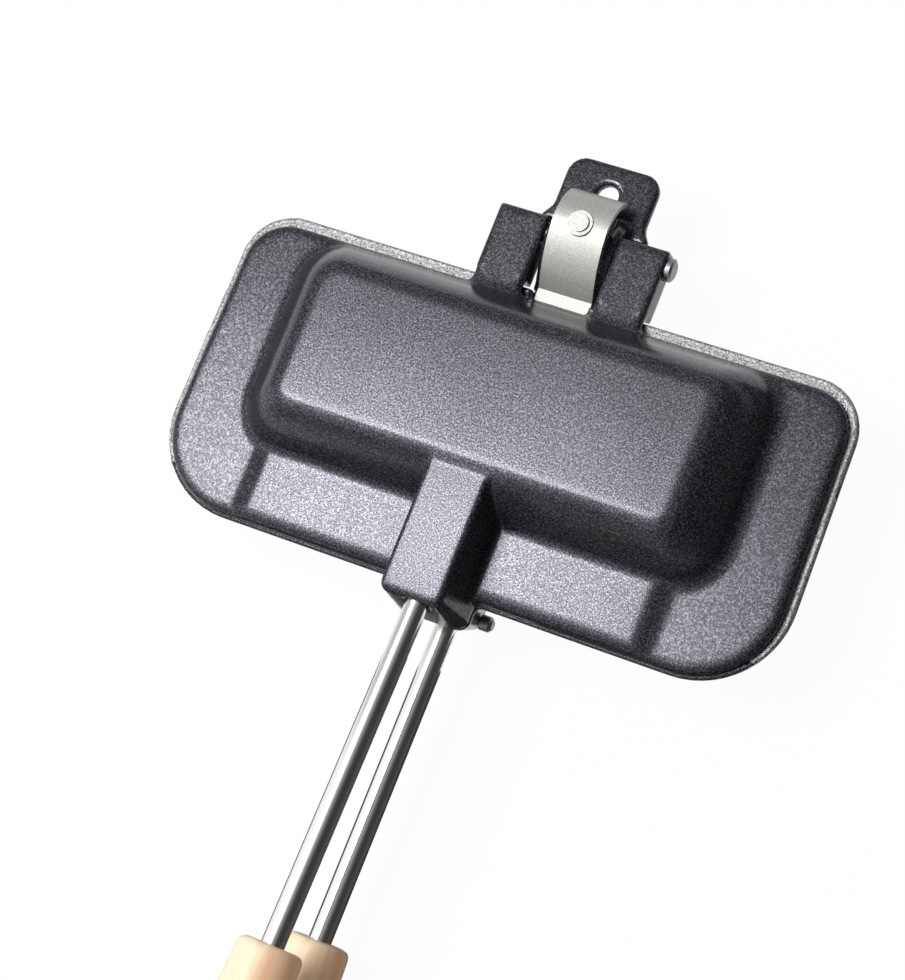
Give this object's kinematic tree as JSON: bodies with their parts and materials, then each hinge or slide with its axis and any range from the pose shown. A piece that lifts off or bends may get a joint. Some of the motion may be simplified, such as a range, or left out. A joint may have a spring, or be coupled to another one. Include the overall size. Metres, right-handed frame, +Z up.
{
  "type": "pie iron",
  "caption": "Hinged cooking pan: shallow cast halves close over a sandwich or pie, each carried on a long steel rod with a turned wooden grip, with a hanging tab behind the hinge.",
  "frame": {"origin": "middle of the flat bottom of the lower pan, on the surface that it stands on", "axes": "+X along the hinge pin, toward the right of someone who holds the grips; +Y from the grips toward the hinge and the hanging tab; +Z up through the closed pans, square to the flat bottom"},
  "size_m": [0.165, 0.3261, 0.0503],
  "materials": {
    "pan": "die-cast aluminium with a speckled dark grey non-stick coat",
    "rod": "bright plated steel",
    "steel": "plain cut steel pin",
    "strip": "satin plated steel strip",
    "upper_wood": "turned pale wood, thin clear lacquer",
    "lower_wood": "turned pinkish wood, thin clear lacquer"
  },
  "bodies": {
    "lower_half": {"lower_pan": "pan", "spring_strip": "strip", "strip_rivet": "strip", "lower_rod": "rod", "lower_cross_pin": "steel", "lower_grip": "lower_wood", "lower_washer": "rod", "lower_nut": "rod"},
    "upper_half": {"upper_pan": "pan", "hinge_pin": "steel", "upper_rod": "rod", "upper_cross_pin": "steel", "upper_grip": "upper_wood", "upper_washer": "rod", "upper_nut": "rod"}
  },
  "joints": [
    {"name": "pan_hinge", "type": "hinge", "parent": "lower_half", "child": "upper_half", "pos_m": [0.0015, 0.0445, 0.017], "axis": [-1, 0, 0], "range_deg": [0, 150]}
  ]
}
